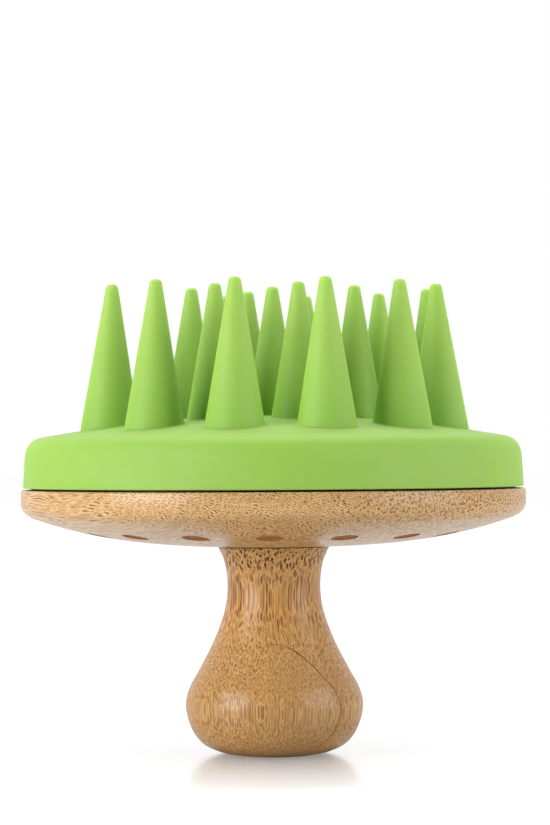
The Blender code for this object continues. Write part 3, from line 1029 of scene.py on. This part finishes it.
def floor_material():
    """White, with a polish that shows the foot of the knob and fades away from it."""
    shader = Shader("white_floor")
    place = shader.place()
    cloud = shader.noise(place, 60 * MM)
    reach = shader.length(place)
    # The glow is weaker under the knob: painted shade for the knob's shadow on the floor, seen only by the
    # object.
    glow = shader.spread(reach, *FLOOR_GLOW_REACH, *FLOOR_GLOW)
    seen = shader.node("ShaderNodeLightPath").outputs["Is Camera Ray"]
    material = shader.finish(
        Base_Color=shader.mix(cloud, *FLOOR_TONES),
        Roughness=0.9,
        Specular_IOR_Level=0.0,
        Emission_Color=WHITE,
        Emission_Strength=shader.spread(seen, 0.0, 1.0, glow, FLOOR_GLOW_SEEN),
    )
    inputs = {"Color": (*POLISH_COLOUR, 1.0), "Roughness": POLISH_ROUGHNESS}
    polish = shader.node("ShaderNodeBsdfGlossy", inputs)
    share = shader.spread(reach, *POLISH_REACH, POLISH_MOST, 0.0, smooth=False)
    inputs = {0: share, 1: shader.surface.outputs[0], 2: polish.outputs[0]}
    both = shader.node("ShaderNodeMixShader", inputs)
    shader.tree.links.new(both.outputs[0], shader.tree.nodes["Material Output"].inputs["Surface"])
    return material


# The studio.


def make_floor():
    mesh = bpy.data.meshes.new("floor")
    shape = bmesh.new()
    bmesh.ops.create_grid(shape, x_segments=1, y_segments=1, size=FLOOR_HALF)
    shape.to_mesh(mesh)
    shape.free()
    mesh.materials.append(floor_material())
    floor = bpy.data.objects.new("floor", mesh)
    floor.location.z = -FLOOR_DROP
    bpy.context.scene.collection.objects.link(floor)


def make_world():
    """White behind the object and dim in front of it. The camera itself sees plain white all round."""
    world = bpy.data.worlds.new("studio")
    world.use_nodes = True
    tree = world.node_tree
    background = tree.nodes["Background"]
    output = tree.nodes["World Output"]
    direction = tree.nodes.new("ShaderNodeTexCoord").outputs["Generated"]
    backness = tree.nodes.new("ShaderNodeVectorMath")
    backness.operation = "DOT_PRODUCT"
    backness.inputs[1].default_value = BEHIND
    tree.links.new(direction, backness.inputs[0])
    strength = tree.nodes.new("ShaderNodeMapRange")
    strength.interpolation_type = "SMOOTHSTEP"
    for socket, value in zip(("From Min", "From Max", "To Min", "To Max"), (*WORLD_TURN, *WORLD_STRENGTH)):
        strength.inputs[socket].default_value = value
    tree.links.new(backness.outputs["Value"], strength.inputs["Value"])
    tree.links.new(strength.outputs["Result"], background.inputs["Strength"])
    plain = tree.nodes.new("ShaderNodeBackground")
    for shown in (plain, background):
        shown.inputs["Color"].default_value = (*WHITE, 1.0)
    seen = tree.nodes.new("ShaderNodeLightPath").outputs["Is Camera Ray"]
    mix = tree.nodes.new("ShaderNodeMixShader")
    tree.links.new(seen, mix.inputs[0])
    tree.links.new(background.outputs[0], mix.inputs[1])
    tree.links.new(plain.outputs[0], mix.inputs[2])
    tree.links.new(mix.outputs[0], output.inputs["Surface"])
    bpy.context.scene.world = world


def soft_box(name, azimuth, elevation, distance, size, power):
    """An area light that faces the pad, placed by its direction from there.

    Azimuth 0 is towards the camera.
    """
    turn = CAMERA_AZIMUTH + math.radians(azimuth)
    rise = math.radians(elevation)
    level = math.cos(rise)
    toward = Vector((math.sin(turn) * level, -math.cos(turn) * level, math.sin(rise)))
    light = bpy.data.lights.new(name, "AREA")
    light.shape = "RECTANGLE"
    light.size, light.size_y = size
    light.energy = power
    lamp = bpy.data.objects.new(name, light)
    lamp.location = Vector((0.0, 0.0, CAMERA_HEIGHT)) + toward * distance
    lamp.rotation_euler = toward.to_track_quat("Z", "Y").to_euler()
    bpy.context.scene.collection.objects.link(lamp)


def make_camera():
    camera = bpy.data.cameras.new("camera")
    camera.lens = CAMERA_LENS
    camera.sensor_width = CAMERA_SENSOR
    obj = bpy.data.objects.new("camera", camera)
    level = Matrix.Rotation(CAMERA_AZIMUTH, 4, "Z") @ Matrix.Rotation(math.radians(90), 4, "X")
    aim = Matrix.Rotation(-CAMERA_YAW, 4, "Y") @ Matrix.Rotation(CAMERA_PITCH, 4, "X")
    roll = Matrix.Rotation(-CAMERA_ROLL, 4, "Z")
    place = Vector(FRONT) * CAMERA_DISTANCE + Vector((0.0, 0.0, CAMERA_HEIGHT))
    obj.matrix_world = Matrix.Translation(place) @ level @ aim @ roll
    bpy.context.scene.collection.objects.link(obj)
    bpy.context.scene.camera = obj
    bpy.context.scene.view_settings.view_transform = "Standard"


def stand_in(piece, body, node):
    """The piece takes a CAD node's place and rides with its body."""
    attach(piece, body)
    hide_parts(node)


def finish_metal():
    """The nodes that keep their CAD shapes are the fasteners: the insert in brass and the rest in steel."""
    steel = metal_material("zinc_plated_steel", STEEL_TONES, 0.32)
    brass = metal_material("turned_brass", BRASS_TONES, 0.28)
    for name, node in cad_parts.items():
        if not node.hide_render:
            node.data.materials.clear()
            node.data.materials.append(brass if name == "threaded_insert" else steel)


make_camera()
make_floor()
make_world()
for light in LIGHTS:
    soft_box(*light)

stand_in(make_pad(silicone_material()), "pad", "bristle_pad")
stand_in(make_carrier(plastic_material()), "handle", "carrier_plate")
stand_in(make_disc(disc_bamboo_material(), burnt_material()), "handle", "head_disc")
stand_in(make_knob(knob_bamboo_material()), "handle", "knob")
finish_metal()
